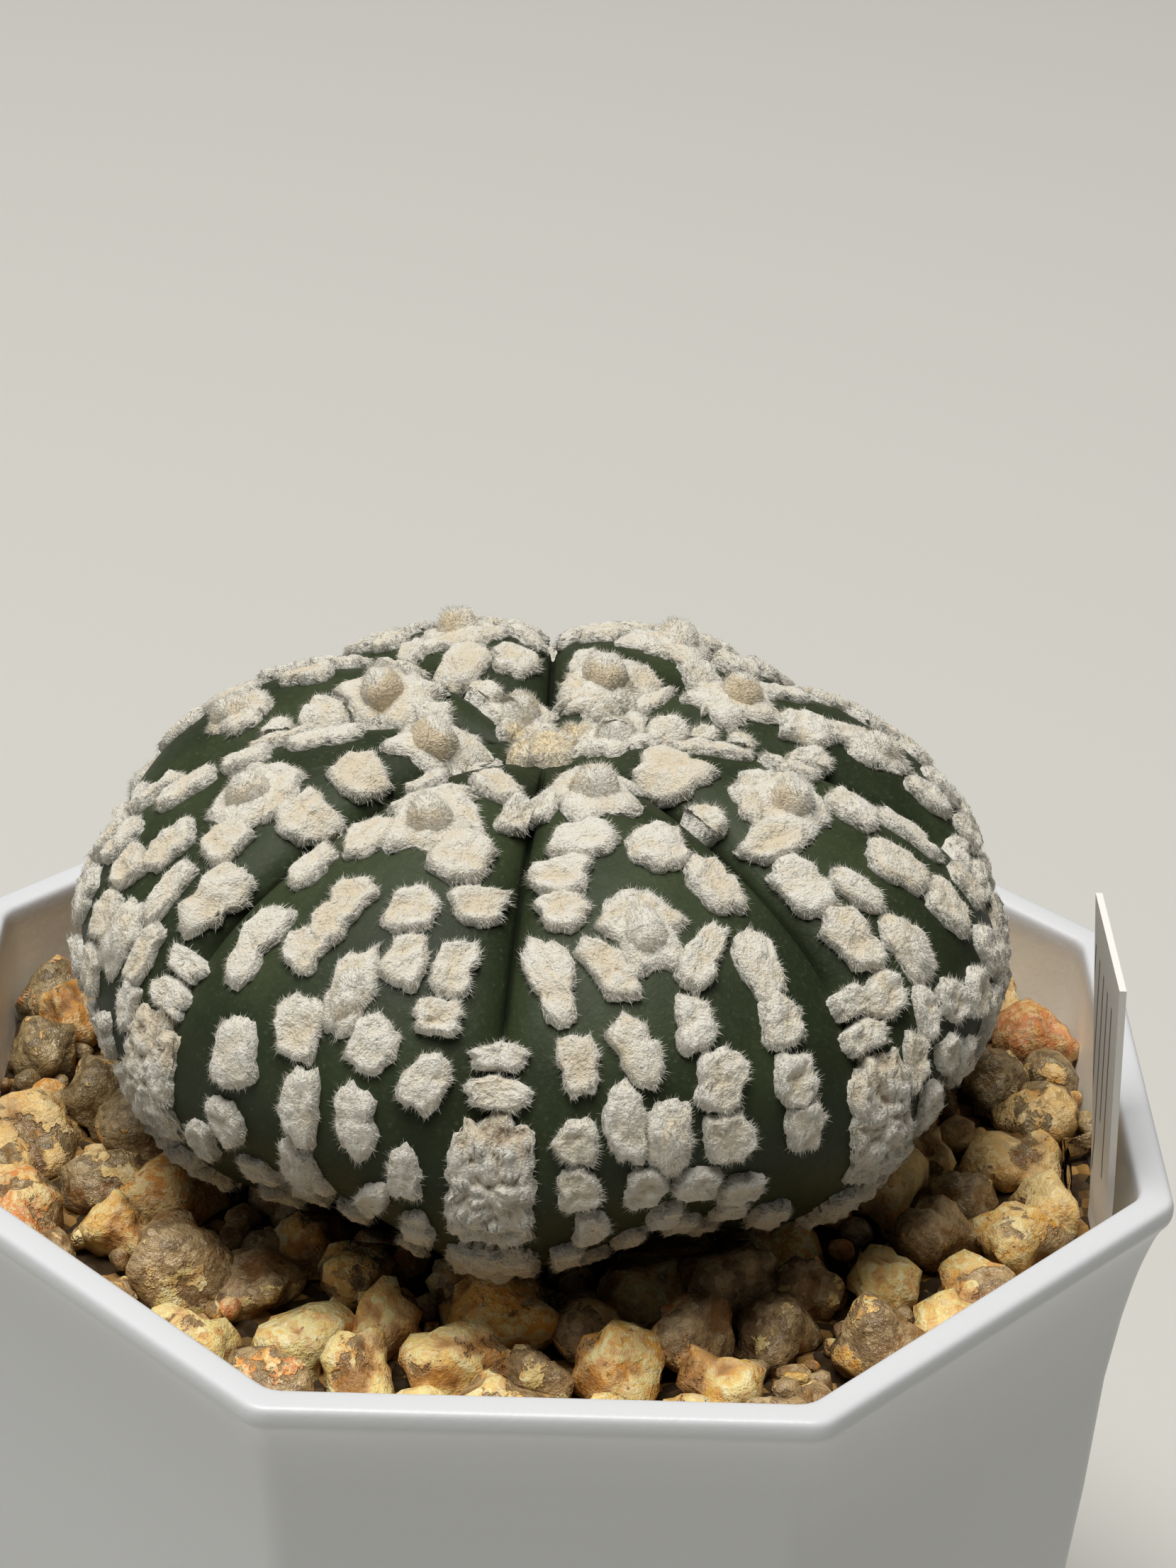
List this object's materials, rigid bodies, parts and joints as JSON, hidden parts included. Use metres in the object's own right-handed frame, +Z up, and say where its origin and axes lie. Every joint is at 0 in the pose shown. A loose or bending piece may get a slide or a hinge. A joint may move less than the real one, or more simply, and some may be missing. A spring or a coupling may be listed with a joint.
{
  "type": "potted star cactus",
  "caption": "Low ribbed star cactus covered in thick white felt flecks, standing in an eight-sided plastic pot filled with coarse gravel, with a blank plant label at the wall.",
  "frame": {"origin": "middle of the pot's underside, on the surface that it stands on", "axes": "+Z up; the pot's flats face +X, -X, +Y and -Y; -Y is the front, as pictured; the label stands at the +X wall"},
  "size_m": [0.09, 0.09, 0.1092],
  "materials": {
    "pot_plastic": "white moulded plastic with a satin surface",
    "gravel_stone": "washed granite and quartz grit, ochre, cream, grey and rust",
    "cactus_skin": "dark green waxy skin with a fine grain",
    "cactus_felt": "cream white felt of fine hairs, tan on the areoles",
    "label_card": "white plastic card with plain ruled lines"
  },
  "bodies": {
    "root": {"pot": "pot_plastic", "gravel": "gravel_stone", "cactus": "cactus_skin", "label": "label_card"}
  },
  "joints": []
}
